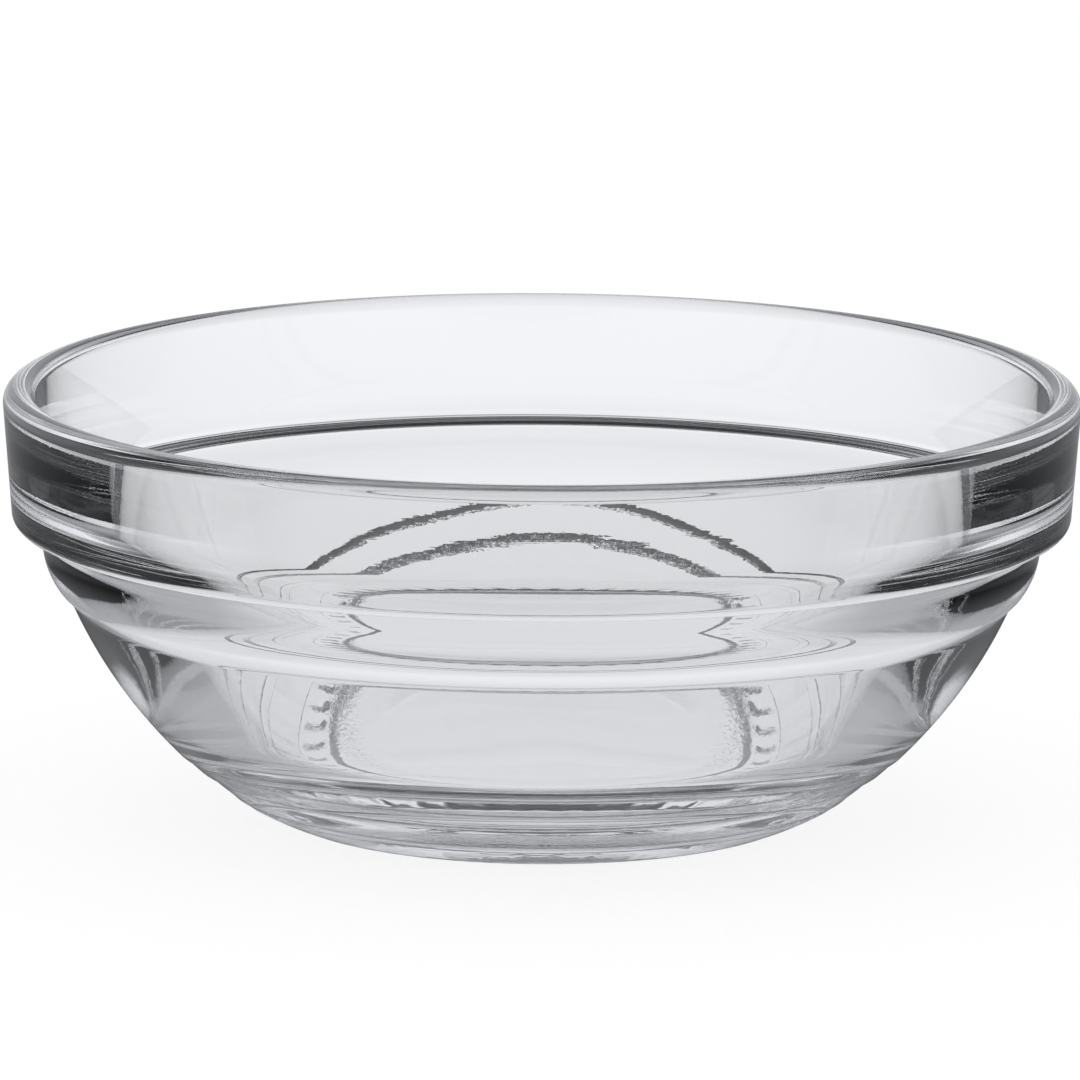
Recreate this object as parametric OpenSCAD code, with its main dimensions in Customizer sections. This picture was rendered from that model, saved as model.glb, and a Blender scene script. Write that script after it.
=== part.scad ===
// Stackable prep bowl of clear pressed glass, one solid piece as it leaves the mould.
// It stands on z = 0 with its axis on Z, and all lengths are in millimetres.

/* [Rim and collar] */
// Outer diameter across the lip
rim_d = 105; // [98:0.5:112]
// Height from the table to the top of the lip
bowl_h = 42.4; // [40:0.1:48]
// Thickness of the lip, which is rounded over its whole width
lip_t = 3.2; // [2.8:0.1:3.8]
// Height of the ledge that carries this bowl on the rim of the one below it in a stack
ledge_z = 29.1; // [28:0.1:30]
// Gap on the radius between the band and the rim that it drops into
stack_gap = 0.6; // [0.3:0.1:1]
// How far the collar draws in from the lip to its lower edge, on the radius
collar_draft = 0.8; // [0.2:0.1:1.4]
// Rounding of the collar's lower edge
collar_edge_r = 1.1; // [0.5:0.1:1.5]

/* [Band under the collar] */
// Height of the band, from the ledge to its lower edge
band_h = 6.2; // [5.4:0.1:7]
// Upright part of the band, straight under the ledge
band_upright_h = 1.8; // [1:0.1:2.4]
// Radius of the curve that draws the band in
band_curve_r = 7; // [6.2:0.1:9]
// Depth of the step from the band in to the body
band_step = 1.1; // [0.6:0.1:1.5]

/* [Body] */
// Radius of the body's round outer side, seen from the side
body_curve_r = 47; // [44:0.5:60]
// Height of the upper ring line near the foot
upper_line_z = 7.2; // [6.8:0.1:9]
// Step inwards at the upper ring line
upper_line_step = 0.2; // [0.1:0.05:0.4]
// Height of the lower ring line
lower_line_z = 5.6; // [5:0.1:6.2]
// Step inwards at the lower ring line
lower_line_step = 0.3; // [0.1:0.05:0.5]
// Height of the fine bead above the heel
bead_z = 2.9; // [2.7:0.1:3.6]
// How far the fine bead stands out
bead_out = 0.12; // [0.05:0.01:0.2]

/* [Foot] */
// Diameter where the body ends and the heel begins
heel_d = 58.8; // [56:0.2:62]
// Height of the heel
heel_h = 2.2; // [1.8:0.1:2.4]
// Radius of the heel's curve, seen from the side
heel_curve_r = 25; // [15:1:40]
// Diameter of the foot's outer edge
foot_d = 50.6; // [49:0.2:53]
// Width of the ring that the foot stands on
foot_ring_w = 3.4; // [2.6:0.1:5]
// Depth of the hollow under the floor, above the foot ring
hollow_h = 1.3; // [0.6:0.1:1.6]
// Number of small raised bars around the foot ring
bar_count = 48; // [24:1:56]
// Width of a bar, along the ring
bar_w = 1.9; // [1.2:0.1:2.2]
// Height of a bar under the foot ring
bar_h = 0.3; // [0.15:0.05:0.5]

/* [Inside] */
// How far the inside draws in from the lip to the height of the ledge, on the radius
neck_in = 3.4; // [3:0.1:4]
// Thickness between the corner of the ledge and the inside, on the radius
neck_t = 3.3; // [2.8:0.1:3.8]
// Radius of the bend that leads from the collar's straight inside into the wall's curve
bend_r = 15; // [8:0.5:20]
// Radius of the wall's long curve on the inside
wall_curve_r = 78; // [68:1:100]
// Height where the wall's thickness is set, low on the body
wall_low_z = 12; // [11:0.1:13]
// Thickness of the wall at that height, on the radius
wall_low_t = 6.4; // [5.8:0.1:7]
// Radius of the curve between the wall and the floor
corner_r = 16; // [12:0.5:18]
// Radius of the floor's shallow dish
dish_r = 200; // [120:10:300]
// Thickness of the floor in the middle, above the hollow
floor_t = 4.5; // [3.6:0.1:5.2]

/* [Hidden] */
$fn = 360;

// Straight steps per round stretch of the outline
lip_steps = 14;
edge_steps = 8;
band_steps = 10;
body_steps = 26;
line_steps = 3;
heel_steps = 10;
bend_steps = 8;
wall_steps = 16;
corner_steps = 14;
dish_steps = 14;

// Length by which a bar is sunk into the foot ring
overrun = 0.2;
// Smallest rounding left where the foot ring meets the heel and the hollow
foot_edge_r = 0.4;

rim_r = rim_d / 2;
lip_r = lip_t / 2;
lip_c = [rim_r - lip_r, bowl_h - lip_r];

// The band drops into the rim of the bowl below, so it takes its size from that rim
band_r = rim_r - lip_t - stack_gap;
collar_edge_c = [rim_r - collar_draft - collar_edge_r, ledge_z + collar_edge_r];
band_c = [band_r - band_curve_r, ledge_z - band_upright_h];
band_turn = asin((band_h - band_upright_h) / band_curve_r);
band_low = band_c + band_curve_r * [cos(band_turn), -sin(band_turn)];

// The body's arc runs from under the band to the heel, less what its ring lines step in
lines_in = upper_line_step + lower_line_step;
body_top = band_low - band_step * [1, 1];
body_low = [heel_d / 2 + lines_in, heel_h];
body_c = arc_centre(body_low, body_top, body_curve_r);

heel_top = [heel_d / 2, heel_h];
foot_z = bar_h;
heel_c = arc_centre([foot_d / 2, foot_z], heel_top, heel_curve_r);

foot_in_r = foot_d / 2 - foot_ring_w;
hollow_z = foot_z + hollow_h;
floor_z = hollow_z + floor_t;
bar_ring_r = foot_d / 2 - foot_ring_w / 2;
bar_l = foot_ring_w - 2 * foot_edge_r;

// Inside, top: a straight flare that touches the lip's rounding and leads down to the neck
neck = [rim_r - lip_t - neck_in, ledge_z];
neck_to_lip = lip_c - neck;
flare_turn = atan2(neck_to_lip[0], neck_to_lip[1]) - asin(lip_r / norm(neck_to_lip));
flare_out = [-cos(flare_turn), sin(flare_turn)];
flare_down = [-sin(flare_turn), -cos(flare_turn)];

// Inside, wall: an arc that is set by two thicknesses
wall_high = [band_r - neck_t, ledge_z];
wall_low = [arc_x(body_c, body_curve_r, wall_low_z) - wall_low_t, wall_low_z];
wall_c = arc_centre(wall_low, wall_high, wall_curve_r);

// The bend touches both the flare and the wall's arc
bend_line = lip_c + (lip_r + bend_r) * flare_out - wall_c;
bend_along = bend_line * flare_down;
bend_reach = sqrt(pow(bend_along, 2) - bend_line * bend_line + pow(wall_curve_r - bend_r, 2)) - bend_along;
bend_c = wall_c + bend_line + bend_reach * flare_down;
bend_end = heading(wall_c, bend_c);

// Inside, floor: a shallow dish, and a corner that touches both the dish and the wall's arc
dish_c = [0, floor_z + dish_r];
corner_c = crossing(wall_c, wall_curve_r - corner_r, dish_c, dish_r - corner_r);
corner_start = heading(wall_c, corner_c);
corner_end = heading(dish_c, corner_c);

// Centre of the arc of radius r that bulges to +X and runs from the lower point a to the upper point b
function arc_centre(a, b, r) =
    let (
        half = (b - a) / 2,
        rise = sqrt(r * r - half * half),
        along = half / norm(half)
    )
    a + half + rise * [-along[1], along[0]];

// Point at distance ra from a and at distance rb from b, on the right as one looks from a to b
function crossing(a, ra, b, rb) =
    let (
        gap = norm(b - a),
        along = (b - a) / gap,
        near = (gap * gap + ra * ra - rb * rb) / (2 * gap)
    )
    a + near * along + sqrt(ra * ra - near * near) * [along[1], -along[0]];

// Angle at which b is seen from a
function heading(a, b) = atan2(b[1] - a[1], b[0] - a[0]);

// X of a circle's right side at height z
function arc_x(c, r, z) = c[0] + sqrt(r * r - pow(z - c[1], 2));

// Angle of a circle's point at height z, on its right side
function arc_angle(c, r, z) = asin((z - c[1]) / r);

// Point of a circle at angle a
function arc_point(c, r, a) = c + r * [cos(a), sin(a)];

// Points of an arc, from angle a0 to angle a1
function arc_points(c, r, a0, a1, steps) =
    [for (i = [0 : steps]) arc_point(c, r, a0 + (a1 - a0) * i / steps)];

// The same without its first point, for an arc that goes on where the outline has got to
function arc_after(c, r, a0, a1, steps) =
    [for (i = [1 : steps]) arc_point(c, r, a0 + (a1 - a0) * i / steps)];

// Part of the body's arc between two heights, moved in by the ring lines below it
function body_points(z0, z1, inset, steps) =
    arc_points(body_c - [inset, 0], body_curve_r,
        arc_angle(body_c, body_curve_r, z0), arc_angle(body_c, body_curve_r, z1), steps);

// Fine bead that swells out of the body's arc and back
function bead_points() =
    [for (i = [0 : line_steps])
        let (z = bead_z + bead_out * (2 * i / line_steps - 1))
        [arc_x(body_c, body_curve_r, z) - lines_in + bead_out * sin(180 * i / line_steps), z]];

// Outer side, from the middle of the underside up to the top of the lip
function outer_points() = concat(
    [[0, hollow_z]],
    arc_points([foot_in_r - hollow_h, foot_z], hollow_h, 90, 0, edge_steps),
    arc_points(heel_c, heel_curve_r,
        arc_angle(heel_c, heel_curve_r, foot_z), arc_angle(heel_c, heel_curve_r, heel_h), heel_steps),
    bead_points(),
    body_points(bead_z + 2 * bead_out, lower_line_z - lower_line_step, lines_in, line_steps),
    body_points(lower_line_z, upper_line_z - upper_line_step, upper_line_step, line_steps),
    body_points(upper_line_z, body_top[1], 0, body_steps),
    arc_points(band_c, band_curve_r, -band_turn, 0, band_steps),
    [[band_r, ledge_z]],
    arc_points(collar_edge_c, collar_edge_r, -90, 0, edge_steps),
    arc_points(lip_c, lip_r, 0, 90, lip_steps)
);

// Inner side, from the top of the lip down to the middle of the floor
function inner_points() = concat(
    arc_after(lip_c, lip_r, 90, 180 - flare_turn, lip_steps),
    arc_points(bend_c, bend_r, -flare_turn, bend_end, bend_steps),
    arc_after(wall_c, wall_curve_r, bend_end, corner_start, wall_steps),
    arc_after(corner_c, corner_r, corner_start, corner_end, corner_steps),
    arc_after(dish_c, dish_r, corner_end, -90, dish_steps)
);

// The pressed glass body, one outline turned about the axis
module glass_body() {
    rotate_extrude()
        polygon(concat(outer_points(), inner_points()));
}

// Small bars with round ends under the foot ring, which keep the polished ring off the table
module foot_bars() {
    for (i = [0 : bar_count - 1])
        rotate([0, 0, 360 * i / bar_count])
            translate([bar_ring_r, 0, 0])
                foot_bar();
}

// One bar, straight along the ring's width and round at both ends
module foot_bar() {
    run = bar_l / 2 - bar_w / 2;
    linear_extrude(bar_h + overrun)
        union() {
            translate([-run, 0]) circle(d = bar_w, $fn = 24);
            translate([run, 0]) circle(d = bar_w, $fn = 24);
            translate([-run, -bar_w / 2]) square([2 * run, bar_w]);
        }
}

module bowl() {
    color("lightcyan") {
        glass_body();
        foot_bars();
    }
}

bowl();
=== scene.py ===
"""A stackable prep bowl of clear pressed glass, dressed for its photograph.

The bowl is one pressing, so it is one closed mesh: an outline in millimetres, turned about the axis by
Geometry Nodes, which also press the small bars under the foot and leave the skin as uneven as moulded glass is.
"""

import logging
import math
from dataclasses import dataclass, field
from enum import Enum

import bpy
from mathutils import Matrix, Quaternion, Vector


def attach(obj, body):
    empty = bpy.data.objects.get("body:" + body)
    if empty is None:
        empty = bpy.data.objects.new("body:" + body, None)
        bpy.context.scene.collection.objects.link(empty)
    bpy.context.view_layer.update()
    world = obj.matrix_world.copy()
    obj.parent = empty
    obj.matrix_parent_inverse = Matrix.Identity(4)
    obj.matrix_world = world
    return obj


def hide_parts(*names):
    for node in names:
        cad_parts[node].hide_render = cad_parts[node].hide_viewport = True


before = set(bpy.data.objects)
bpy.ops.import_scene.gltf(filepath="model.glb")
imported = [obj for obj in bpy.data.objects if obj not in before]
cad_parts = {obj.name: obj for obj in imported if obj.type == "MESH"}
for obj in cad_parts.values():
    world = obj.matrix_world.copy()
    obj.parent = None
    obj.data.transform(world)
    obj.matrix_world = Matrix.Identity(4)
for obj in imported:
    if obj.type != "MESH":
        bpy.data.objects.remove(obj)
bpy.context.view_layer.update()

MM = 0.001
PHOTO_SIDE = 1080

Point = tuple[float, float]
log = logging.getLogger("prep_bowl")


class Path(Enum):
    """How a ray has come before it meets the studio."""

    STRAIGHT = "never mirrored, seen directly or through the glass"
    OUTSIDE = "mirrored on the skin, without entering the glass"
    ONCE = "mirrored once inside the glass"
    OFTEN = "mirrored again and again inside the glass"


def linear(hex_colour: str) -> tuple[float, float, float, float]:
    """Turns an sRGB hex colour into the linear colour that a socket takes.

    Args:
        hex_colour: Six hex digits, with or without a leading hash.

    Returns:
        Red, green and blue in linear light, and an alpha of one.
    """
    digits = hex_colour.lstrip("#")
    shares = [int(digits[i : i + 2], 16) / 255 for i in (0, 2, 4)]
    red, green, blue = (s / 12.92 if s <= 0.04045 else ((s + 0.055) / 1.055) ** 2.4 for s in shares)
    return red, green, blue, 1.0


def add_node(
    tree: bpy.types.NodeTree, kind: str, settings: dict | None = None, inputs: dict | None = None
) -> bpy.types.Node:
    """Adds a node with its settings, and its inputs as values or links.

    Args:
        tree: The tree that gets the node.
        kind: The node's type name.
        settings: Attributes to set on the node.
        inputs: Values or output sockets by the input's name or number.

    Returns:
        The new node.
    """
    node = tree.nodes.new(kind)
    for name, value in (settings or {}).items():
        setattr(node, name, value)
    for name, value in (inputs or {}).items():
        if isinstance(value, bpy.types.NodeSocket):
            tree.links.new(value, node.inputs[name])
        else:
            node.inputs[name].default_value = value
    return node


def arc_centre(low: Vector, high: Vector, radius: float) -> Vector:
    """Centre of the arc of that radius that bulges outwards between two points, the lower one first."""
    half = (high - low) / 2
    along = half.normalized()
    rise = math.sqrt(radius * radius - half.length_squared)
    return low + half + rise * Vector((-along.y, along.x))


def crossing(first: Vector, first_r: float, second: Vector, second_r: float) -> Vector:
    """Point where two circles cross, on the right as one looks from the first centre to the second.

    Args:
        first: Centre of the first circle.
        first_r: Its radius.
        second: Centre of the second circle.
        second_r: Its radius.

    Returns:
        The point, as distance from the axis and height.
    """
    gap = (second - first).length
    along = (second - first) / gap
    near = (gap**2 + first_r**2 - second_r**2) / (2 * gap)
    return first + near * along + math.sqrt(first_r**2 - near**2) * Vector((along.y, -along.x))


def heading(start: Vector, end: Vector) -> float:
    """Angle in radians at which one point is seen from another."""
    return math.atan2(end.y - start.y, end.x - start.x)


def arc_x(centre: Vector, radius: float, z: float) -> float:
    """Distance from the axis of a circle's outer side at height z."""
    return centre.x + math.sqrt(radius * radius - (z - centre.y) ** 2)


def arc_angle(centre: Vector, radius: float, z: float) -> float:
    """Angle in radians of a circle's point at height z, on its outer side."""
    return math.asin((z - centre.y) / radius)


def arc(centre: Vector, radius: float, start: float, end: float, steps: int, first: bool = True) -> list[Point]:
    """Points of an arc from one angle to another.

    Args:
        centre: The arc's centre, as distance from the axis and height.
        radius: The arc's radius.
        start: The first point's angle in radians.
        end: The last point's angle in radians.
        steps: How many straight steps it has.
        first: Whether the first point is given, which an arc that goes on where another ended leaves out.

    Returns:
        The points, as distance from the axis and height.
    """
    turns = [start + (end - start) * i / steps for i in range(0 if first else 1, steps + 1)]
    return [(centre.x + radius * math.cos(a), centre.y + radius * math.sin(a)) for a in turns]


@dataclass
class BowlOutline:
    """The bowl's section in millimetres, from the middle of the underside round the lip to that of the floor."""

    # A hair less than the solid's 105, as the finer turning here would otherwise reach past its box
    rim_d: float = 104.96
    bowl_h: float = 42.4
    lip_t: float = 3.2
    ledge_z: float = 29.1
    stack_gap: float = 0.6
    collar_draft: float = 0.8
    collar_edge_r: float = 1.1
    ledge_corner_r: float = 0.35
    band_h: float = 6.2
    band_upright_h: float = 1.8
    band_curve_r: float = 7.0
    band_step: float = 1.1
    body_curve_r: float = 47.0
    upper_line_z: float = 7.2
    upper_line_step: float = 0.2
    lower_line_z: float = 5.6
    lower_line_step: float = 0.3
    bead_z: float = 2.9
    bead_out: float = 0.12
    heel_d: float = 58.8
    heel_h: float = 2.2
    heel_curve_r: float = 25.0
    foot_d: float = 50.6
    foot_ring_w: float = 3.4
    burr: float = 0.035
    notch: float = 0.3
    bar_h: float = 0.3
    hollow_h: float = 1.3
    neck_in: float = 3.4
    neck_t: float = 3.3
    bend_r: float = 15.0
    wall_curve_r: float = 78.0
    wall_low_z: float = 12.0
    wall_low_t: float = 6.4
    corner_r: float = 16.0
    dish_r: float = 200.0
    floor_t: float = 4.5
    points: list[Point] = field(default_factory=list)

    def __post_init__(self) -> None:
        """Works out the whole outline."""
        self.points = self.outer() + self.inner()

    @property
    def lip_centre(self) -> Vector:
        """Centre of the lip's rounding."""
        return Vector((self.rim_d / 2 - self.lip_t / 2, self.bowl_h - self.lip_t / 2))

    @property
    def foot_inner_r(self) -> float:
        """Radius of the foot ring's inner edge."""
        return self.foot_d / 2 - self.foot_ring_w

    def underside(self) -> list[Point]:
        """The hollow under the floor and the foot ring's flat."""
        hollow_z = self.bar_h + self.hollow_h
        edge = Vector((self.foot_inner_r - self.hollow_h, self.bar_h))
        flat = [(edge.x * share, hollow_z) for share in (0.0, 0.25, 0.5, 0.7, 0.85, 0.95)]
        ring_out = self.foot_d / 2
        ring = [(self.foot_inner_r + (ring_out - self.foot_inner_r) * i / 14, self.bar_h) for i in range(1, 14)]
        return flat + arc(edge, self.hollow_h, math.pi / 2, 0, 9) + ring

    def body(self, low: float, high: float, inset: float, steps: int) -> list[Point]:
        """A stretch of the body's arc between two heights, moved in by the ring lines below it."""
        centre = self.body_centre() - Vector((inset, 0))
        ends = [arc_angle(centre, self.body_curve_r, z) for z in (low, high)]
        return arc(centre, self.body_curve_r, *ends, steps)

    def band_low(self) -> Vector:
        """Lower edge of the band."""
        turn = math.asin((self.band_h - self.band_upright_h) / self.band_curve_r)
        return self.band_centre() + self.band_curve_r * Vector((math.cos(turn), -math.sin(turn)))

    def band_centre(self) -> Vector:
        """Centre of the curve that draws the band in."""
        band_r = self.rim_d / 2 - self.lip_t - self.stack_gap
        return Vector((band_r - self.band_curve_r, self.ledge_z - self.band_upright_h))

    def body_centre(self) -> Vector:
        """Centre of the body's arc."""
        lines_in = self.upper_line_step + self.lower_line_step
        low = Vector((self.heel_d / 2 + lines_in, self.heel_h))
        high = self.band_low() - self.band_step * Vector((1, 1))
        return arc_centre(low, high, self.body_curve_r)

    def bead(self) -> list[Point]:
        """The fine bead above the heel."""
        centre, lines_in = self.body_centre(), self.upper_line_step + self.lower_line_step
        out = []
        for i in range(9):
            z = self.bead_z + self.bead_out * (2 * i / 8 - 1)
            swell = self.bead_out * math.sin(math.pi * i / 8)
            out.append((arc_x(centre, self.body_curve_r, z) - lines_in + swell, z))
        return out

    def burr_line(self, at: Vector) -> list[Point]:
        """The fine raised line that a joint between two mould parts leaves on the glass."""
        h = self.burr
        shares = ((-1.0, -0.1), (0.2, -0.7), (1.0, -0.1), (1.0, 0.8))
        return [(at.x + out * h, at.y + up * h) for out, up in shares]

    def notch_line(self, at: Point) -> list[Point]:
        """The sharp inner corner of a ring line, cut in below its step so that the line shows dark."""
        return [(at[0] - self.notch, at[1] + 0.02), (at[0] - self.notch, at[1] + 0.14)]

    def outer(self) -> list[Point]:
        """The side that the mould shapes, up to the top of the lip."""
        lines_in = self.upper_line_step + self.lower_line_step
        heel_top = Vector((self.heel_d / 2, self.heel_h))
        heel = arc_centre(Vector((self.foot_d / 2, self.bar_h)), heel_top, self.heel_curve_r)
        heel_ends = [arc_angle(heel, self.heel_curve_r, z) for z in (self.bar_h, self.heel_h)]
        band_centre, band_low = self.band_centre(), self.band_low()
        turn = math.asin((self.band_h - self.band_upright_h) / self.band_curve_r)
        ledge = Vector((band_centre.x + self.band_curve_r, self.ledge_z))
        edge = Vector((self.rim_d / 2 - self.collar_draft - self.collar_edge_r, self.ledge_z + self.collar_edge_r))
        corner = Vector((ledge.x + self.ledge_corner_r, ledge.y - self.ledge_corner_r))
        heel_arc = arc(heel, self.heel_curve_r, *heel_ends, 11)
        low = self.body(self.bead_z + 2 * self.bead_out, self.lower_line_z - self.lower_line_step, lines_in, 5)
        middle = self.body(self.lower_line_z, self.upper_line_z - self.upper_line_step, self.upper_line_step, 5)
        return (
            self.underside()
            + self.burr_line(Vector((self.foot_d / 2, self.bar_h)))
            + heel_arc[1:-1]
            + self.burr_line(heel_top)
            + self.bead()
            + low
            + self.notch_line(low[-1])
            + middle
            + self.notch_line(middle[-1])
            + self.body(self.upper_line_z, band_low.y - self.band_step, 0, 23)
            + arc(band_centre, self.band_curve_r, -turn, 0, 12)
            + arc(corner, self.ledge_corner_r, math.pi, math.pi / 2, 5)
            + arc(edge, self.collar_edge_r, -math.pi / 2, 0, 10)
            + arc(self.lip_centre, self.lip_t / 2, 0, math.pi / 2, 13)
        )

    def inner(self) -> list[Point]:
        """The side that the plunger shapes: a flare from the lip, a bend, the wall, a corner and a dished floor."""
        lip, lip_r = self.lip_centre, self.lip_t / 2
        to_lip = lip - Vector((self.rim_d / 2 - self.lip_t - self.neck_in, self.ledge_z))
        flare = math.atan2(to_lip.x, to_lip.y) - math.asin(lip_r / to_lip.length)
        out = Vector((-math.cos(flare), math.sin(flare)))
        down = Vector((-math.sin(flare), -math.cos(flare)))
        wall = self.wall_centre()
        line = lip + (lip_r + self.bend_r) * out - wall
        along = line.dot(down)
        reach = math.sqrt(along**2 - line.length_squared + (self.wall_curve_r - self.bend_r) ** 2) - along
        bend = wall + line + reach * down
        dish = Vector((0, self.bar_h + self.hollow_h + self.floor_t + self.dish_r))
        corner = crossing(wall, self.wall_curve_r - self.corner_r, dish, self.dish_r - self.corner_r)
        bend_end, corner_start, corner_end = heading(wall, bend), heading(wall, corner), heading(dish, corner)
        return (
            arc(lip, lip_r, math.pi / 2, math.pi - flare, 13, first=False)
            + arc(bend, self.bend_r, -flare, bend_end, 9)
            + arc(wall, self.wall_curve_r, bend_end, corner_start, 17, first=False)
            + arc(corner, self.corner_r, corner_start, corner_end, 14, first=False)
            + arc(dish, self.dish_r, corner_end, -math.pi / 2, 11, first=False)
        )

    def wall_centre(self) -> Vector:
        """Centre of the wall's arc on the inside, which keeps two thicknesses: at the ledge and low on the body."""
        band_r = self.rim_d / 2 - self.lip_t - self.stack_gap
        low_r = arc_x(self.body_centre(), self.body_curve_r, self.wall_low_z) - self.wall_low_t
        low = Vector((low_r, self.wall_low_z))
        high = Vector((band_r - self.neck_t, self.ledge_z))
        return arc_centre(low, high, self.wall_curve_r)


@dataclass(frozen=True)
class ClearPressedGlass:
    """Clear toughened soda-lime glass, pressed in a mould and polished by fire.

    It is clear with a breath of blue grey in its depth, mirror-smooth, and bends light strongly enough to draw
    every step of its outline as a dark line. Lengths, widths and the relief's heights are in millimetres, and the
    joints are heights above the table.
    """

    name: str = "clear_pressed_glass"
    tint: str = "#4b5054"
    density: float = 4.0
    roughness: float = 0.0
    ior: float = 1.52
    # The marks are drawn out round the bowl, so that they run in rings
    mark_stretch: float = 0.02
    mark_l: float = 1.1
    mark_h: float = 0.0008
    collar_marks: float = 2.5
    collar_marks_z: float = 36.8
    collar_marks_w: float = 1.1
    peel_l: float = 0.5
    peel_h: float = 0.0006
    joints: tuple[float, ...] = (7.1, 5.4, 3.1)
    joint_w: float = 0.28
    burr_l: float = 0.45
    burr_h: float = 0.08

    def turning_marks(self, tree: bpy.types.NodeTree) -> bpy.types.NodeSocket:
        """Works out the skin's relief: rings that the lathe left in the mould, and a faint orange peel.

        Args:
            tree: The glass material's tree.

        Returns:
            The relief's height in metres.
        """
        place = add_node(tree, "ShaderNodeTexCoord").outputs["Object"]
        stretch = (self.mark_stretch, self.mark_stretch, 1.0)
        rings = add_node(tree, "ShaderNodeVectorMath", {"operation": "MULTIPLY"}, {0: place, 1: stretch})
        rings_at = add_node(
            tree,
            "ShaderNodeVectorMath",
            {"operation": "SCALE"},
            {0: rings.outputs[0], "Scale": 1 / (self.mark_l * MM)},
        )
        mark = add_node(
            tree,
            "ShaderNodeTexNoise",
            inputs={"Vector": rings_at.outputs[0], "Scale": 1.0, "Detail": 3.0, "Roughness": 0.6},
        )
        peel_at = add_node(
            tree, "ShaderNodeVectorMath", {"operation": "SCALE"}, {0: place, "Scale": 1 / (self.peel_l * MM)}
        )
        peel = add_node(
            tree, "ShaderNodeTexNoise", inputs={"Vector": peel_at.outputs[0], "Scale": 1.0, "Detail": 2.0}
        )
        z = add_node(tree, "ShaderNodeSeparateXYZ", inputs={"Vector": place}).outputs["Z"]
        off = add_node(
            tree, "ShaderNodeMath", {"operation": "SUBTRACT"}, {0: z, 1: self.collar_marks_z * MM}
        ).outputs[0]
        off = add_node(tree, "ShaderNodeMath", {"operation": "ABSOLUTE"}, {0: off}).outputs[0]
        depth = add_node(
            tree,
            "ShaderNodeMapRange",
            {"interpolation_type": "SMOOTHSTEP"},
            {
                "Value": off,
                "From Min": self.collar_marks_w * MM,
                "From Max": 0.0,
                "To Min": self.mark_h * MM,
                "To Max": self.mark_h * self.collar_marks * MM,
            },
        ).outputs["Result"]
        low = add_node(tree, "ShaderNodeMath", {"operation": "MULTIPLY"}, {0: mark.outputs["Fac"], 1: depth})
        skin = add_node(
            tree,
            "ShaderNodeMath",
            {"operation": "MULTIPLY_ADD"},
            {0: peel.outputs["Fac"], 1: self.peel_h * MM, 2: low.outputs[0]},
        ).outputs[0]
        return self.with_joints(tree, place, skin)

    def with_joints(
        self, tree: bpy.types.NodeTree, place: bpy.types.NodeSocket, skin: bpy.types.NodeSocket
    ) -> bpy.types.NodeSocket:
        """Adds the ragged edge that the glass keeps where two mould parts meet.

        Args:
            tree: The glass material's tree.
            place: The place on the object.
            skin: The relief so far, in metres.

        Returns:
            The relief with the joints.
        """
        z = add_node(tree, "ShaderNodeSeparateXYZ", inputs={"Vector": place}).outputs["Z"]
        grain_at = add_node(
            tree, "ShaderNodeVectorMath", {"operation": "SCALE"}, {0: place, "Scale": 1 / (self.burr_l * MM)}
        )
        grain = add_node(
            tree, "ShaderNodeTexNoise", inputs={"Vector": grain_at.outputs[0], "Scale": 1.0, "Detail": 2.0}
        )
        for joint in self.joints:
            off = add_node(tree, "ShaderNodeMath", {"operation": "SUBTRACT"}, {0: z, 1: joint * MM}).outputs[0]
            off = add_node(tree, "ShaderNodeMath", {"operation": "ABSOLUTE"}, {0: off}).outputs[0]
            near = add_node(
                tree,
                "ShaderNodeMapRange",
                {"interpolation_type": "SMOOTHSTEP"},
                {"Value": off, "From Min": self.joint_w * MM, "From Max": 0.0, "To Max": self.burr_h * MM},
            ).outputs["Result"]
            skin = add_node(
                tree, "ShaderNodeMath", {"operation": "MULTIPLY_ADD"}, {0: grain.outputs["Fac"], 1: near, 2: skin}
            ).outputs[0]
        return skin

    def make(self) -> bpy.types.Material:
        """Builds the glass.

        Returns:
            The material.
        """
        material = bpy.data.materials.new(self.name)
        material.use_nodes = True
        tree = material.node_tree
        tree.nodes.clear()
        skin = add_node(
            tree,
            "ShaderNodeBump",
            inputs={"Strength": 1.0, "Distance": 1.0, "Height": self.turning_marks(tree)},
        )
        glass = add_node(
            tree,
            "ShaderNodeBsdfPrincipled",
            inputs={
                "Normal": skin.outputs["Normal"],
                "Base Color": (1, 1, 1, 1),
                "Roughness": self.roughness,
                "IOR": self.ior,
                "Transmission Weight": 1.0,
            },
        ).outputs["BSDF"]
        depth = add_node(
            tree, "ShaderNodeVolumeAbsorption", inputs={"Color": linear(self.tint), "Density": self.density}
        )
        add_node(tree, "ShaderNodeOutputMaterial", inputs={"Surface": glass, "Volume": depth.outputs[0]})
        return material


@dataclass(frozen=True)
class FootSpot:
    """Where a point lies among the bars: sockets with lengths in metres, and the bar's own chance from 0 to 1."""

    radius: bpy.types.NodeSocket
    z: bpy.types.NodeSocket
    past_side: bpy.types.NodeSocket
    chance: bpy.types.NodeSocket


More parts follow.
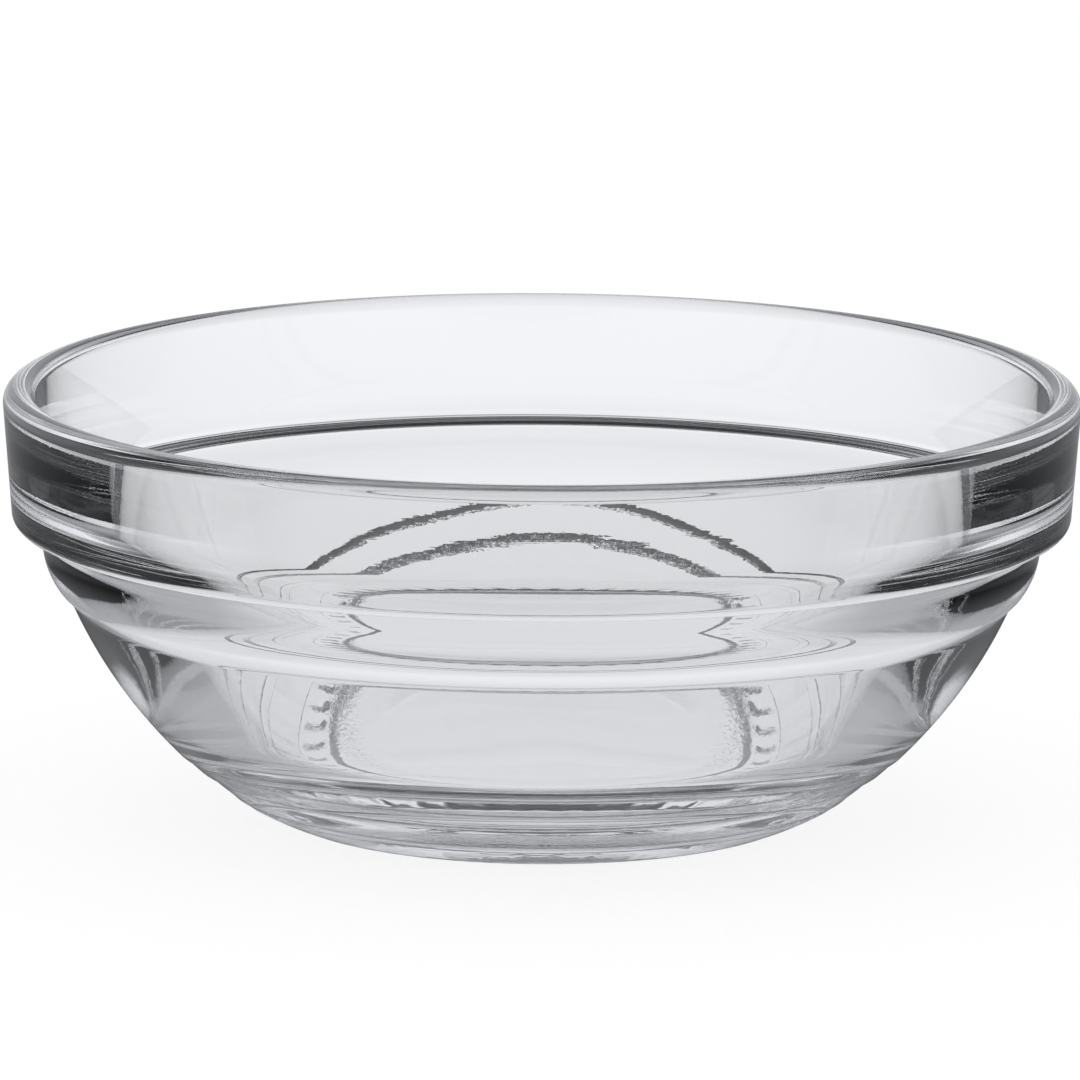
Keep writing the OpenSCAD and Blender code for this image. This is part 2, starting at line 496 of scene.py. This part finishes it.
@dataclass
class PressedBowl:
    """The bowl itself, one pressing of glass. A pair is where a form starts and where it is whole."""

    outline: BowlOutline
    finish: ClearPressedGlass
    segments: int = 480
    merge_gap: float = 0.002
    bar_count: int = 48
    bar_w: float = 1.9
    # Half a bar's width as a share of the width: the least, and how much chance adds
    bar_half_share: tuple[float, float] = (0.38, 0.25)
    bar_clear: float = 0.8
    bar_side_soft: float = 0.75
    bar_end_soft: tuple[float, float] = (0.3, -1.0)
    foot_top: float = 0.6
    flute_h: float = 0.02
    flute_side: tuple[float, float] = (-0.3, 0.45)
    flute_start: tuple[float, float] = (0.3, 0.8)
    flute_end: tuple[float, float] = (3.4, 2.2)
    flute_uneven: float = 0.9
    wave_h: float = 0.09
    wave_l: float = 16.0
    wave_from: tuple[float, float] = (1.0, 8.0)
    wave_to: tuple[float, float] = (42.0, 38.0)
    # Angle in degrees from which an edge stays crisp
    crisp_from: float = 24.0
    seed: float = 7.0

    def section_mesh(self) -> bpy.types.Object:
        """Makes the outline as a chain of points in the XZ plane, in metres.

        Returns:
            The object that holds the chain.
        """
        mesh = bpy.data.meshes.new("bowl_section")
        points = [(r * MM, 0.0, z * MM) for r, z in self.outline.points]
        mesh.from_pydata(points, [(i, i + 1) for i in range(len(points) - 1)], [])
        section = bpy.data.objects.new("bowl_glass", mesh)
        bpy.context.scene.collection.objects.link(section)
        return section

    def turning_tree(self, material: bpy.types.Material) -> bpy.types.GeometryNodeTree:
        """Builds the tree that turns the section about the axis, presses the foot and lets the skin wave.

        Args:
            material: The glass that the tree sets on the faces.

        Returns:
            The tree.
        """
        tree = bpy.data.node_groups.new("turn_and_press", "GeometryNodeTree")
        face = tree.interface
        face.new_socket("Geometry", in_out="INPUT", socket_type="NodeSocketGeometry")
        for name in ("Segments", "Rows"):
            face.new_socket(name, in_out="INPUT", socket_type="NodeSocketInt")
        for name in (
            "Bar Count",
            "Bar Width",
            "Bar Height",
            "Bar Length",
            "Ring Radius",
            "Flute Depth",
            "Wave Height",
            "Wave Length",
            "Seed",
        ):
            face.new_socket(name, in_out="INPUT", socket_type="NodeSocketFloat")
        face.new_socket("Geometry", in_out="OUTPUT", socket_type="NodeSocketGeometry")
        given = add_node(tree, "NodeGroupInput").outputs
        place = add_node(tree, "GeometryNodeInputPosition").outputs[0]
        closed = self.turned(tree, given, place)
        spot = self.foot_spot(tree, given, place)
        pressed = self.with_bars(tree, given, spot, closed)
        wave = self.waves(tree, given, place, spot)
        rise = add_node(
            tree, "ShaderNodeMath", {"operation": "ADD"}, {0: wave, 1: self.flutes(tree, given, spot)}
        ).outputs[0]
        normal = add_node(tree, "GeometryNodeInputNormal").outputs["Normal"]
        offset = add_node(
            tree, "ShaderNodeVectorMath", {"operation": "SCALE"}, {"Vector": normal, "Scale": rise}
        ).outputs[0]
        wavy = add_node(tree, "GeometryNodeSetPosition", inputs={"Geometry": pressed, "Offset": offset}).outputs[0]
        smooth = add_node(tree, "GeometryNodeSetShadeSmooth", inputs={"Geometry": wavy}).outputs[0]
        real = add_node(tree, "GeometryNodeRealizeInstances", inputs={"Geometry": smooth}).outputs[0]
        dressed = add_node(tree, "GeometryNodeSetMaterial", inputs={"Geometry": real, "Material": material})
        add_node(tree, "NodeGroupOutput", inputs={"Geometry": dressed.outputs[0]})
        return tree

    def turned(
        self, tree: bpy.types.GeometryNodeTree, given: bpy.types.NodeOutputs, place: bpy.types.NodeSocket
    ) -> bpy.types.NodeSocket:
        """Turns the section about the axis: a grid with a column for each segment takes the section's points.

        Args:
            tree: The tree.
            given: The tree's inputs.
            place: The position of a point.

        Returns:
            The closed skin.
        """
        columns = add_node(tree, "ShaderNodeMath", {"operation": "ADD"}, {0: given["Segments"], 1: 1.0}).outputs[0]
        grid = add_node(
            tree,
            "GeometryNodeMeshGrid",
            inputs={"Size X": 1.0, "Size Y": 1.0, "Vertices X": given["Rows"], "Vertices Y": columns},
        )
        share = add_node(tree, "ShaderNodeSeparateXYZ", inputs={"Vector": place}).outputs
        last = add_node(tree, "ShaderNodeMath", {"operation": "SUBTRACT"}, {0: given["Rows"], 1: 1.0}).outputs[0]
        down = add_node(tree, "ShaderNodeMath", {"operation": "ADD"}, {0: share["X"], 1: 0.5}).outputs[0]
        down = add_node(tree, "ShaderNodeMath", {"operation": "MULTIPLY"}, {0: down, 1: last}).outputs[0]
        row = add_node(tree, "ShaderNodeMath", {"operation": "ROUND"}, {0: down}).outputs[0]
        turn = add_node(tree, "ShaderNodeMath", {"operation": "ADD"}, {0: share["Y"], 1: 0.5}).outputs[0]
        turn = add_node(tree, "ShaderNodeMath", {"operation": "MULTIPLY"}, {0: turn, 1: math.tau}).outputs[0]
        here = add_node(
            tree,
            "GeometryNodeSampleIndex",
            {"data_type": "FLOAT_VECTOR", "domain": "POINT"},
            {"Geometry": given["Geometry"], "Value": place, "Index": row},
        ).outputs["Value"]
        spun = add_node(
            tree, "ShaderNodeVectorRotate", {"rotation_type": "Z_AXIS"}, {"Vector": here, "Angle": turn}
        ).outputs["Vector"]
        skin = add_node(
            tree, "GeometryNodeSetPosition", inputs={"Geometry": grid.outputs["Mesh"], "Position": spun}
        ).outputs[0]
        merged = add_node(
            tree, "GeometryNodeMergeByDistance", inputs={"Geometry": skin, "Distance": self.merge_gap * MM}
        ).outputs[0]
        return add_node(tree, "GeometryNodeFlipFaces", inputs={"Mesh": merged}).outputs["Mesh"]

    def foot_spot(
        self, tree: bpy.types.GeometryNodeTree, given: bpy.types.NodeOutputs, place: bpy.types.NodeSocket
    ) -> "FootSpot":
        """Works out where a point lies among the bars, whose widths differ a little by chance.

        Args:
            tree: The tree.
            given: The tree's inputs.
            place: The position of a point.

        Returns:
            The point's place.
        """
        at = add_node(tree, "ShaderNodeSeparateXYZ", inputs={"Vector": place}).outputs
        x_part = add_node(tree, "ShaderNodeMath", {"operation": "POWER"}, {0: at["X"], 1: 2.0}).outputs[0]
        y_part = add_node(tree, "ShaderNodeMath", {"operation": "POWER"}, {0: at["Y"], 1: 2.0}).outputs[0]
        square = add_node(tree, "ShaderNodeMath", {"operation": "ADD"}, {0: x_part, 1: y_part}).outputs[0]
        radius = add_node(tree, "ShaderNodeMath", {"operation": "SQRT"}, {0: square}).outputs[0]
        angle = add_node(tree, "ShaderNodeMath", {"operation": "ARCTAN2"}, {0: at["Y"], 1: at["X"]}).outputs[0]
        angle = add_node(tree, "ShaderNodeMath", {"operation": "ADD"}, {0: angle, 1: math.pi}).outputs[0]
        bars = add_node(tree, "ShaderNodeMath", {"operation": "DIVIDE"}, {0: angle, 1: math.tau}).outputs[0]
        bars = add_node(
            tree, "ShaderNodeMath", {"operation": "MULTIPLY"}, {0: bars, 1: given["Bar Count"]}
        ).outputs[0]
        bar = add_node(tree, "ShaderNodeMath", {"operation": "ROUND"}, {0: bars}).outputs[0]
        off = add_node(tree, "ShaderNodeMath", {"operation": "SUBTRACT"}, {0: bars, 1: bar}).outputs[0]
        off = add_node(tree, "ShaderNodeMath", {"operation": "ABSOLUTE"}, {0: off}).outputs[0]
        pitch = add_node(
            tree, "ShaderNodeMath", {"operation": "MULTIPLY"}, {0: given["Ring Radius"], 1: math.tau}
        ).outputs[0]
        pitch = add_node(
            tree, "ShaderNodeMath", {"operation": "DIVIDE"}, {0: pitch, 1: given["Bar Count"]}
        ).outputs[0]
        off = add_node(tree, "ShaderNodeMath", {"operation": "MULTIPLY"}, {0: off, 1: pitch}).outputs[0]
        number = add_node(
            tree, "ShaderNodeMath", {"operation": "MODULO"}, {0: bar, 1: given["Bar Count"]}
        ).outputs[0]
        draw = add_node(tree, "ShaderNodeCombineXYZ", inputs={"X": number, "Y": given["Seed"]}).outputs[0]
        chance = add_node(
            tree, "ShaderNodeTexWhiteNoise", {"noise_dimensions": "2D"}, {"Vector": draw}
        ).outputs["Value"]
        least, spread = self.bar_half_share
        half = add_node(
            tree, "ShaderNodeMath", {"operation": "MULTIPLY_ADD"}, {0: chance, 1: spread, 2: least}
        ).outputs[0]
        half = add_node(
            tree, "ShaderNodeMath", {"operation": "MULTIPLY"}, {0: given["Bar Width"], 1: half}
        ).outputs[0]
        past_side = add_node(tree, "ShaderNodeMath", {"operation": "SUBTRACT"}, {0: off, 1: half}).outputs[0]
        return FootSpot(radius, at["Z"], past_side, chance)

    def with_bars(
        self,
        tree: bpy.types.GeometryNodeTree,
        given: bpy.types.NodeOutputs,
        spot: "FootSpot",
        closed: bpy.types.NodeSocket,
    ) -> bpy.types.NodeSocket:
        """Presses the soft-edged bars down out of the foot ring.

        Args:
            tree: The tree.
            given: The tree's inputs.
            spot: A point's place among the bars.
            closed: The turned skin.

        Returns:
            The skin with its bars.
        """
        across = add_node(
            tree,
            "ShaderNodeMapRange",
            {"interpolation_type": "SMOOTHSTEP"},
            {"Value": spot.past_side, "From Min": self.bar_side_soft * MM, "From Max": -self.bar_side_soft * MM},
        ).outputs["Result"]
        off_ring = add_node(
            tree, "ShaderNodeMath", {"operation": "SUBTRACT"}, {0: spot.radius, 1: given["Ring Radius"]}
        ).outputs[0]
        off_ring = add_node(tree, "ShaderNodeMath", {"operation": "ABSOLUTE"}, {0: off_ring}).outputs[0]
        half = add_node(
            tree, "ShaderNodeMath", {"operation": "DIVIDE"}, {0: given["Bar Length"], 1: 2.0}
        ).outputs[0]
        past_end = add_node(tree, "ShaderNodeMath", {"operation": "SUBTRACT"}, {0: off_ring, 1: half}).outputs[0]
        along = add_node(
            tree,
            "ShaderNodeMapRange",
            {"interpolation_type": "SMOOTHSTEP"},
            {"Value": past_end, "From Min": self.bar_end_soft[0] * MM, "From Max": self.bar_end_soft[1] * MM},
        ).outputs["Result"]
        under = add_node(
            tree, "ShaderNodeMath", {"operation": "LESS_THAN"}, {0: spot.z, 1: self.foot_top * MM}
        ).outputs[0]
        drop = add_node(tree, "ShaderNodeMath", {"operation": "MULTIPLY"}, {0: across, 1: along}).outputs[0]
        for factor in (under, given["Bar Height"], -1.0):
            drop = add_node(tree, "ShaderNodeMath", {"operation": "MULTIPLY"}, {0: drop, 1: factor}).outputs[0]
        offset = add_node(tree, "ShaderNodeCombineXYZ", inputs={"Z": drop}).outputs[0]
        return add_node(tree, "GeometryNodeSetPosition", inputs={"Geometry": closed, "Offset": offset}).outputs[0]

    def flutes(
        self, tree: bpy.types.GeometryNodeTree, given: bpy.types.NodeOutputs, spot: "FootSpot"
    ) -> bpy.types.NodeSocket:
        """Works out the flutes, with which the gaps between the bars run on up the heel, shallow and uneven.

        Args:
            tree: The tree.
            given: The tree's inputs.
            spot: A point's place among the bars.

        Returns:
            How far the skin rises, below zero in a flute.
        """
        ends_at = add_node(
            tree,
            "ShaderNodeMath",
            {"operation": "MULTIPLY_ADD"},
            {0: spot.chance, 1: self.flute_uneven * MM, 2: spot.z},
        ).outputs[0]
        gap, starts, ends = (
            add_node(
                tree,
                "ShaderNodeMapRange",
                {"interpolation_type": "SMOOTHSTEP"},
                {"Value": value, "From Min": low * MM, "From Max": high * MM},
            ).outputs["Result"]
            for value, (low, high) in (
                (spot.past_side, self.flute_side),
                (spot.z, self.flute_start),
                (ends_at, self.flute_end),
            )
        )
        heel_r = add_node(
            tree, "ShaderNodeMath", {"operation": "ADD"}, {0: given["Ring Radius"], 1: given["Bar Width"]}
        ).outputs[0]
        outside = add_node(
            tree, "ShaderNodeMath", {"operation": "GREATER_THAN"}, {0: spot.radius, 1: heel_r}
        ).outputs[0]
        reach = add_node(tree, "ShaderNodeMath", {"operation": "MULTIPLY"}, {0: starts, 1: ends}).outputs[0]
        reach = add_node(tree, "ShaderNodeMath", {"operation": "MULTIPLY"}, {0: reach, 1: outside}).outputs[0]
        dip = add_node(
            tree, "ShaderNodeMath", {"operation": "MULTIPLY"}, {0: given["Flute Depth"], 1: -1.0}
        ).outputs[0]
        gap = add_node(tree, "ShaderNodeMath", {"operation": "MULTIPLY"}, {0: gap, 1: reach}).outputs[0]
        return add_node(tree, "ShaderNodeMath", {"operation": "MULTIPLY"}, {0: gap, 1: dip}).outputs[0]

    def waves(
        self,
        tree: bpy.types.GeometryNodeTree,
        given: bpy.types.NodeOutputs,
        place: bpy.types.NodeSocket,
        spot: "FootSpot",
    ) -> bpy.types.NodeSocket:
        """Works out the slow waves across the wall, as glass keeps from the pressing, clear of foot and lip.

        Args:
            tree: The tree.
            given: The tree's inputs.
            place: The position of a point.
            spot: The point's place, for its height.

        Returns:
            How far the skin rises, which is never outwards.
        """
        length = add_node(
            tree, "ShaderNodeCombineXYZ", inputs={axis: given["Wave Length"] for axis in "XYZ"}
        ).outputs[0]
        wave_place = add_node(
            tree, "ShaderNodeVectorMath", {"operation": "DIVIDE"}, {0: place, 1: length}
        ).outputs[0]
        noise = add_node(
            tree,
            "ShaderNodeTexNoise",
            {"noise_dimensions": "4D"},
            {"Vector": wave_place, "W": given["Seed"], "Scale": 1.0, "Detail": 1.0, "Roughness": 0.4},
        ).outputs["Fac"]
        rise = add_node(tree, "ShaderNodeMath", {"operation": "SUBTRACT"}, {0: noise, 1: 1.0}).outputs[0]
        rise = add_node(
            tree, "ShaderNodeMath", {"operation": "MULTIPLY"}, {0: rise, 1: given["Wave Height"]}
        ).outputs[0]
        for low, high in (self.wave_from, self.wave_to):
            clear = add_node(
                tree,
                "ShaderNodeMapRange",
                {"interpolation_type": "SMOOTHSTEP"},
                {"Value": spot.z, "From Min": low * MM, "From Max": high * MM},
            ).outputs["Result"]
            rise = add_node(tree, "ShaderNodeMath", {"operation": "MULTIPLY"}, {0: rise, 1: clear}).outputs[0]
        return rise

    def build(self) -> bpy.types.Object:
        """Makes the bowl as one closed mesh at the origin.

        Returns:
            The glass piece, on its body and in place of the plain solid.
        """
        material = self.finish.make()
        section = self.section_mesh()
        tree = self.turning_tree(material)
        turning = section.modifiers.new("turn_and_press", "NODES")
        turning.node_group = tree
        outline = self.outline
        values = {
            "Segments": self.segments,
            "Rows": len(outline.points),
            "Bar Count": float(self.bar_count),
            "Bar Width": self.bar_w * MM,
            "Bar Height": outline.bar_h * MM,
            "Bar Length": (outline.foot_ring_w - self.bar_clear) * MM,
            "Ring Radius": (outline.foot_d - outline.foot_ring_w) / 2 * MM,
            "Flute Depth": self.flute_h * MM,
            "Wave Height": self.wave_h * MM,
            "Wave Length": self.wave_l * MM,
            "Seed": self.seed,
        }
        for item in tree.interface.items_tree:
            if item.in_out == "INPUT" and item.name in values:
                turning[item.identifier] = values[item.name]
        graph = bpy.context.evaluated_depsgraph_get()
        mesh = bpy.data.meshes.new_from_object(section.evaluated_get(graph))
        section.modifiers.remove(turning)
        section.data = mesh
        mesh.name = "bowl_glass"
        mesh.materials.clear()
        mesh.materials.append(material)
        self.mark_edges(mesh)
        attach(section, "root")
        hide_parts("bowl")
        return section

    def mark_edges(self, mesh: bpy.types.Mesh) -> None:
        """Keeps the steps of the ring lines crisp, where smooth shading would melt them away.

        Args:
            mesh: The turned mesh.
        """
        mesh.set_sharp_from_angle(angle=math.radians(self.crisp_from))


@dataclass(frozen=True)
class Surroundings:
    """What the glass finds round it: pale near the floor and behind, dark above and at the sides.

    Glass has no colour to show but that of the room, so its edges draw themselves in the dark parts of it. Every
    row is a height in degrees and the brightness behind the bowl, beside it and in front of it. Each kind of ray
    has rows of its own, fitted to the photograph's tones, so this isn't one real room.
    """

    camera: float = 1.0
    diffuse: float = 0.8
    cast: str = "#f8faff"
    behind_to: float = 60.0
    beside_to: float = 120.0
    blend: float = 10.0
    levels: dict[Path, tuple[tuple[float, float, float, float], ...]] = field(
        default_factory=lambda: {
            Path.STRAIGHT: (
                (-7.0, 0.90, 0.90, 0.90),
                (0.0, 0.45, 0.45, 0.45),
                (5.0, 0.45, 0.45, 0.45),
                (12.0, 0.90, 0.90, 0.90),
            ),
            Path.OUTSIDE: (
                (-75.0, 0.90, 0.90, 0.90),
                (-47.0, 0.80, 0.80, 0.80),
                (-27.0, 0.50, 0.50, 0.90),
                (-14.0, 0.12, 0.12, 0.90),
                (-4.0, 0.80, 0.80, 0.90),
                (22.0, 0.95, 0.95, 0.90),
                (36.0, 0.05, 0.05, 0.05),
            ),
            Path.ONCE: (
                (-75.0, 0.90, 0.90, 0.90),
                (-47.0, 0.48, 0.60, 0.60),
                (-27.0, 0.40, 0.25, 0.50),
                (-14.0, 0.25, 0.10, 0.40),
                (0.0, 0.90, 0.05, 0.40),
                (19.0, 0.35, 0.05, 0.25),
                (36.0, 0.04, 0.02, 0.02),
            ),
            Path.OFTEN: (
                (-75.0, 0.60, 0.60, 0.60),
                (-47.0, 0.25, 0.20, 0.40),
                (-27.0, 0.45, 0.05, 0.20),
                (-14.0, 0.50, 0.02, 0.15),
                (0.0, 1.00, 0.02, 0.15),
                (22.0, 1.10, 0.02, 0.10),
                (37.0, 0.05, 0.02, 0.05),
            ),
        }
    )

    def by_side(self, tree: bpy.types.NodeTree, direction: bpy.types.NodeSocket) -> bpy.types.NodeSocket:
        """Shares a direction out among behind, beside and in front, as the three parts of a vector.

        Args:
            tree: The world's tree.
            direction: The ray's direction.

        Returns:
            The three shares, which add up to one.
        """
        part = add_node(tree, "ShaderNodeSeparateXYZ", inputs={"Vector": direction}).outputs
        turn = add_node(tree, "ShaderNodeMath", {"operation": "ARCTAN2"}, {0: part["X"], 1: part["Y"]}).outputs[0]
        off = add_node(tree, "ShaderNodeMath", {"operation": "ABSOLUTE"}, {0: turn}).outputs[0]
        past = [
            add_node(
                tree,
                "ShaderNodeMapRange",
                {"interpolation_type": "SMOOTHSTEP"},
                {
                    "Value": off,
                    "From Min": math.radians(limit - self.blend),
                    "From Max": math.radians(limit + self.blend),
                },
            ).outputs["Result"]
            for limit in (self.behind_to, self.beside_to)
        ]
        behind = add_node(tree, "ShaderNodeMath", {"operation": "SUBTRACT"}, {0: 1.0, 1: past[0]}).outputs[0]
        beside = add_node(tree, "ShaderNodeMath", {"operation": "SUBTRACT"}, {0: past[0], 1: past[1]}).outputs[0]
        return add_node(tree, "ShaderNodeCombineXYZ", inputs={"X": behind, "Y": beside, "Z": past[1]}).outputs[0]

    def level(
        self, tree: bpy.types.NodeTree, kind: Path, height: bpy.types.NodeSocket, sides: bpy.types.NodeSocket
    ) -> bpy.types.NodeSocket:
        """Reads the brightness that one kind of ray meets.

        Args:
            tree: The world's tree.
            kind: The kind of ray.
            height: The sine of the ray's height, from 0 for straight down to 1 for straight up.
            sides: The shares of behind, beside and in front.

        Returns:
            The brightness.
        """
        scale = add_node(tree, "ShaderNodeValToRGB", inputs={"Fac": height})
        scale.label = kind.value
        ramp = scale.color_ramp
        rows = self.levels[kind]
        while len(ramp.elements) < len(rows):
            ramp.elements.new(0.5)
        for element, (degrees, *levels) in zip(ramp.elements, rows):
            element.position = (math.sin(math.radians(degrees)) + 1) / 2
            element.color = (*levels, 1.0)
        return add_node(
            tree, "ShaderNodeVectorMath", {"operation": "DOT_PRODUCT"}, {0: scale.outputs["Color"], 1: sides}
        ).outputs["Value"]

    def make(self) -> bpy.types.World:
        """Builds the world.

        Returns:
            The world.
        """
        world = bpy.data.worlds.new("studio")
        world.use_nodes = True
        tree = world.node_tree
        tree.nodes.clear()
        direction = add_node(tree, "ShaderNodeTexCoord").outputs["Generated"]
        up = add_node(tree, "ShaderNodeSeparateXYZ", inputs={"Vector": direction}).outputs["Z"]
        height = add_node(tree, "ShaderNodeMapRange", inputs={"Value": up, "From Min": -1.0}).outputs["Result"]
        sides = self.by_side(tree, direction)
        straight, outside, once, often = (self.level(tree, kind, height, sides) for kind in Path)
        inside = choose(tree, depth_below(tree, "Glossy Depth", 2), once, often)
        mirrored = choose(tree, depth_below(tree, "Transmission Depth", 1), outside, inside)
        seen = choose(tree, depth_below(tree, "Glossy Depth", 1), straight, mirrored)
        path = add_node(tree, "ShaderNodeLightPath").outputs
        soft = choose(tree, path["Is Diffuse Ray"], self.diffuse, seen)
        shown = choose(tree, path["Is Camera Ray"], self.camera, soft)
        colour = add_node(
            tree,
            "ShaderNodeMix",
            {"data_type": "RGBA"},
            {"Factor": path["Is Glossy Ray"], "A": (1, 1, 1, 1), "B": linear(self.cast)},
        )
        room = add_node(
            tree, "ShaderNodeBackground", inputs={"Color": colour.outputs["Result"], "Strength": shown}
        )
        add_node(tree, "ShaderNodeOutputWorld", inputs={"Surface": room.outputs[0]})
        return world


def depth_below(tree: bpy.types.NodeTree, depth: str, count: int) -> bpy.types.NodeSocket:
    """Says whether a ray's depth of one sort is still below a count.

    Args:
        tree: The tree that asks.
        depth: The Light Path output, such as Glossy Depth.
        count: The count.

    Returns:
        A socket that is one below the count and zero from there on.
    """
    path = add_node(tree, "ShaderNodeLightPath").outputs[depth]
    return add_node(tree, "ShaderNodeMath", {"operation": "LESS_THAN"}, {0: path, 1: count - 0.5}).outputs[0]


def choose(
    tree: bpy.types.NodeTree,
    test: bpy.types.NodeSocket,
    if_one: bpy.types.NodeSocket | float,
    if_zero: bpy.types.NodeSocket | float,
) -> bpy.types.NodeSocket:
    """Gives one value where a test is one, and the other where it is zero.

    Args:
        tree: The tree that chooses.
        test: The test's socket.
        if_one: The value or socket for one.
        if_zero: The value or socket for zero.

    Returns:
        The chosen value.
    """
    return add_node(tree, "ShaderNodeMix", {"data_type": "FLOAT"}, {0: test, 2: if_zero, 3: if_one}).outputs[0]


@dataclass(frozen=True)
class MattWhite:
    """Matt paint on the studio floor, most of it a glow, so that it shows as white with a faint shadow of the bowl.

    Seen through the glass it is a glow without that real shadow, with a painted shadow of the bowl instead: darker
    near the bowl and brighter further off. Lengths in millimetres.
    """

    name: str = "matt_white_floor"
    colour: str = "#8a8a8a"
    glow: float = 0.81
    # Painted shadow of the bowl on the floor seen through the glass: the glow's level near the bowl and far off,
    # and the distances between which it rises
    near: float = 0.83
    glow_past_painted_shadow: float = 0.98
    painted_shadow_r: float = 40.0
    painted_shadow_end_r: float = 190.0
    cast: str = "#fbfcff"

    def make(self) -> bpy.types.Material:
        """Builds the floor's paint, which is clear for mirrored rays, so that they meet the surroundings.

        Returns:
            The material.
        """
        material = bpy.data.materials.new(self.name)
        material.use_nodes = True
        tree = material.node_tree
        tree.nodes.clear()
        paint = add_node(tree, "ShaderNodeBsdfDiffuse", inputs={"Color": linear(self.colour)})
        glow = add_node(tree, "ShaderNodeEmission", inputs={"Strength": self.glow})
        both = add_node(tree, "ShaderNodeAddShader", inputs={0: paint.outputs[0], 1: glow.outputs[0]})
        place = add_node(tree, "ShaderNodeTexCoord").outputs["Object"]
        away = add_node(tree, "ShaderNodeVectorMath", {"operation": "LENGTH"}, {0: place}).outputs["Value"]
        # Painted shadow of the bowl: the glow seen through the glass is darker near the bowl and brighter further
        # off
        glow_under_painted_shadow = add_node(
            tree,
            "ShaderNodeMapRange",
            {"interpolation_type": "SMOOTHSTEP"},
            {
                "Value": away,
                "From Min": self.painted_shadow_r * MM,
                "From Max": self.painted_shadow_end_r * MM,
                "To Min": self.near,
                "To Max": self.glow_past_painted_shadow,
            },
        ).outputs["Result"]
        # The floor as seen through the glass: an even-coloured glow that carries the painted shadow of the bowl
        through = add_node(tree, "ShaderNodeEmission", inputs={"Color": linear(self.cast), "Strength": glow_under_painted_shadow})
        direct = add_node(tree, "ShaderNodeLightPath").outputs["Is Camera Ray"]
        seen = add_node(tree, "ShaderNodeMixShader", inputs={0: direct, 1: through.outputs[0], 2: both.outputs[0]})
        clear = add_node(tree, "ShaderNodeBsdfTransparent")
        straight = depth_below(tree, "Glossy Depth", 1)
        shown = add_node(tree, "ShaderNodeMixShader", inputs={0: straight, 1: clear.outputs[0], 2: seen.outputs[0]})
        add_node(tree, "ShaderNodeOutputMaterial", inputs={"Surface": shown.outputs[0]})
        return material


@dataclass
class Studio:
    """The pale floor, the soft light and the camera."""

    target_z: float = 22.0
    elevation: float = 11.299
    distance: float = 1500.0
    focal_px: float = 15372.2
    centre_x: float = 541.02
    centre_y: float = 591.33
    roll: float = 0.355
    floor_r: float = 6000.0
    floor_sides: int = 64

    def camera(self) -> bpy.types.Object:
        """Sets the camera where the photograph was taken from.

        Returns:
            The camera.
        """
        lens = bpy.data.cameras.new("studio_camera")
        lens.sensor_fit = "HORIZONTAL"
        lens.sensor_width = 36.0
        lens.lens = self.focal_px / PHOTO_SIDE * lens.sensor_width
        half = PHOTO_SIDE / 2
        lens.shift_x = (half - self.centre_x) / PHOTO_SIDE
        lens.shift_y = (self.centre_y - half) / PHOTO_SIDE
        lens.clip_start, lens.clip_end = 0.05, 50.0
        up = math.radians(self.elevation)
        camera = bpy.data.objects.new("studio_camera", lens)
        back = Vector((0, -math.cos(up), math.sin(up)))
        camera.location = (Vector((0, 0, self.target_z)) + self.distance * back) * MM
        camera.rotation_mode = "QUATERNION"
        aim = (-back).to_track_quat("-Z", "Y")
        camera.rotation_quaternion = aim @ Quaternion((0, 0, 1), math.radians(self.roll))
        bpy.context.scene.collection.objects.link(camera)
        bpy.context.scene.camera = camera
        return camera

    def floor(self) -> bpy.types.Object:
        """Makes the floor, a wide round board just under the foot."""
        mesh = bpy.data.meshes.new("floor")
        radius = self.floor_r * MM
        turns = [math.tau * i / self.floor_sides for i in range(self.floor_sides)]
        rim = [(radius * math.cos(turn), radius * math.sin(turn), 0.0) for turn in turns]
        mesh.from_pydata(rim, [], [tuple(range(self.floor_sides))])
        mesh.materials.append(MattWhite().make())
        floor = bpy.data.objects.new("floor", mesh)
        bpy.context.scene.collection.objects.link(floor)
        return floor

    def build(self) -> None:
        """Builds the studio."""
        self.camera()
        self.floor()
        scene = bpy.context.scene
        scene.world = Surroundings().make()
        scene.view_settings.view_transform = "Standard"
        scene.cycles.max_bounces = 32
        scene.cycles.transmission_bounces = 32
        scene.cycles.glossy_bounces = 16
        log.info("studio set, camera %.0f mm away", self.distance)


def main() -> None:
    """Builds the bowl and the studio round it."""
    logging.basicConfig(level=logging.INFO, format="%(name)s: %(message)s")
    bowl = PressedBowl(BowlOutline(), ClearPressedGlass()).build()
    log.info("%s: %d faces", bowl.name, len(bowl.data.polygons))
    Studio().build()


if __name__ == "__main__":
    main()
